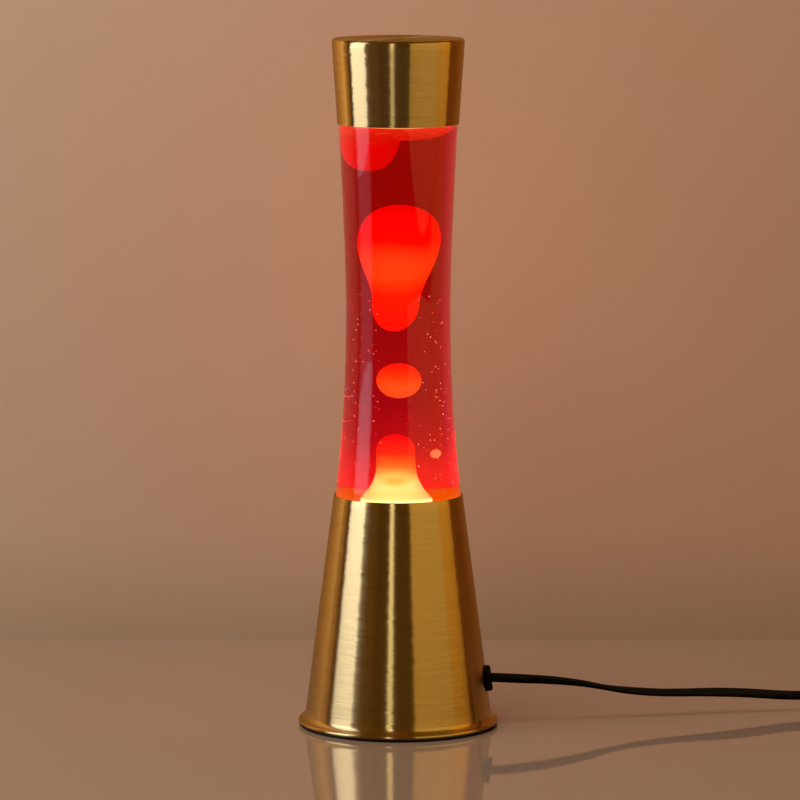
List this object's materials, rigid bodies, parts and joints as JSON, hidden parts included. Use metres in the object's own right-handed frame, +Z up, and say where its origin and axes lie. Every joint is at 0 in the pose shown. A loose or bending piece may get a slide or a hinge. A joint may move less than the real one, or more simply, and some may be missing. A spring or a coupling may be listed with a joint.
{
  "type": "liquid motion lamp",
  "caption": "Waisted glass bottle of red liquid and wax, seated over a lamp bulb in a tapered brass base, under a flared brass cap, with a switched mains lead.",
  "frame": {"origin": "on the table, under the axis of the base", "axes": "+Z up along the lamp's axis, -Y towards the viewer, +X towards the mains lead"},
  "size_m": [0.4678, 0.1154, 0.395],
  "materials": {
    "brass_finish": "brushed round the axis",
    "black_rubber": "matte",
    "plated_steel": "zinc plated",
    "black_plastic": "satin moulded",
    "white_ceramic": "glazed",
    "white_liner": "matte",
    "contact_brass": "bright",
    "gold_tinplate": "lacquered",
    "brown_insulation": "satin",
    "blue_insulation": "satin",
    "black_cord": "satin",
    "clear_glass": "polished",
    "red_wax": "smooth, glowing",
    "red_liquid": "clear dyed"
  },
  "bodies": {
    "base": {"base_shell": "brass_finish", "foot_ring": "black_rubber", "bottom_cover": "plated_steel", "cover_screws": "plated_steel", "bottle_seat": "plated_steel", "seat_gasket": "black_rubber", "holder_bracket": "plated_steel", "bracket_rivets": "plated_steel", "holder_nipple": "plated_steel", "holder_nut": "plated_steel", "holder_cap": "black_plastic", "holder_body": "white_ceramic", "holder_sleeve": "contact_brass", "holder_contact": "contact_brass", "holder_terminals": "contact_brass", "live_wire": "brown_insulation", "neutral_wire": "blue_insulation", "cord_gland": "black_plastic", "gland_nut": "black_plastic", "cord_lead": "black_cord", "cord_mid": "black_cord", "cord_coil": "black_cord", "cord_end": "black_cord", "coil_ties": "black_plastic", "switch_base": "black_plastic", "switch_top": "black_plastic", "switch_terminals": "contact_brass", "switch_through_wire": "blue_insulation", "switch_screws": "plated_steel", "plug_body": "black_plastic", "plug_pins": "contact_brass", "plug_pin_sleeves": "black_plastic"},
    "bulb_rise": {"bulb_contact": "plated_steel"},
    "bulb": {"bulb_envelope": "clear_glass", "bulb_screw_shell": "plated_steel", "bulb_insulator": "black_plastic", "bulb_stem": "clear_glass", "bulb_leads": "contact_brass", "bulb_filament": "plated_steel"},
    "rocker": {"switch_rocker": "black_plastic", "switch_bridge": "contact_brass"},
    "bottle": {"bottle_glass": "clear_glass", "crown_cap": "gold_tinplate", "crown_liner": "white_liner", "wire_coil": "plated_steel", "wax_pool": "red_wax", "wax_top": "red_wax", "liquid": "red_liquid"},
    "large_blob": {"wax_large_blob": "red_wax"},
    "small_blob": {"wax_small_blob": "red_wax"},
    "droplet": {"wax_droplet": "red_wax"},
    "cap": {"cap_shell": "brass_finish", "cap_insert": "black_plastic"}
  },
  "joints": [
    {"name": "bottle_lift", "type": "slide", "parent": "base", "child": "bottle", "axis": [0, 0, 1], "range_m": [0, 0.06]},
    {"name": "cap_lift", "type": "slide", "parent": "bottle", "child": "cap", "axis": [0, 0, 1], "range_m": [0, 0.06]},
    {"name": "bulb_rise", "type": "slide", "parent": "base", "child": "bulb_rise", "axis": [0, 0, 1], "range_m": [0, 0.0113]},
    {"name": "bulb_turn", "type": "hinge", "parent": "bulb_rise", "child": "bulb", "pos_m": [0, 0, 0.05], "axis": [0, 0, 1], "range_deg": [0, 1440]},
    {"name": "switch_rock", "type": "hinge", "parent": "base", "child": "rocker", "pos_m": [0.28, 0.038, 0.0145], "axis": [0, -1, 0], "range_deg": [0, 16]},
    {"name": "large_blob_drift", "type": "slide", "parent": "bottle", "child": "large_blob", "axis": [0, 0, 1], "range_m": [-0.008, 0.016], "deforming": ["liquid"]},
    {"name": "small_blob_drift", "type": "slide", "parent": "bottle", "child": "small_blob", "axis": [0, 0, 1], "range_m": [-0.016, 0.008], "deforming": ["liquid"]},
    {"name": "droplet_drift", "type": "slide", "parent": "bottle", "child": "droplet", "axis": [0, 0, 1], "range_m": [-0.008, 0.025], "deforming": ["liquid"]}
  ],
  "couplings": [
    {"joint": "bulb_rise", "follows": "bulb_turn", "m_per_rad": 0.00044913}
  ]
}
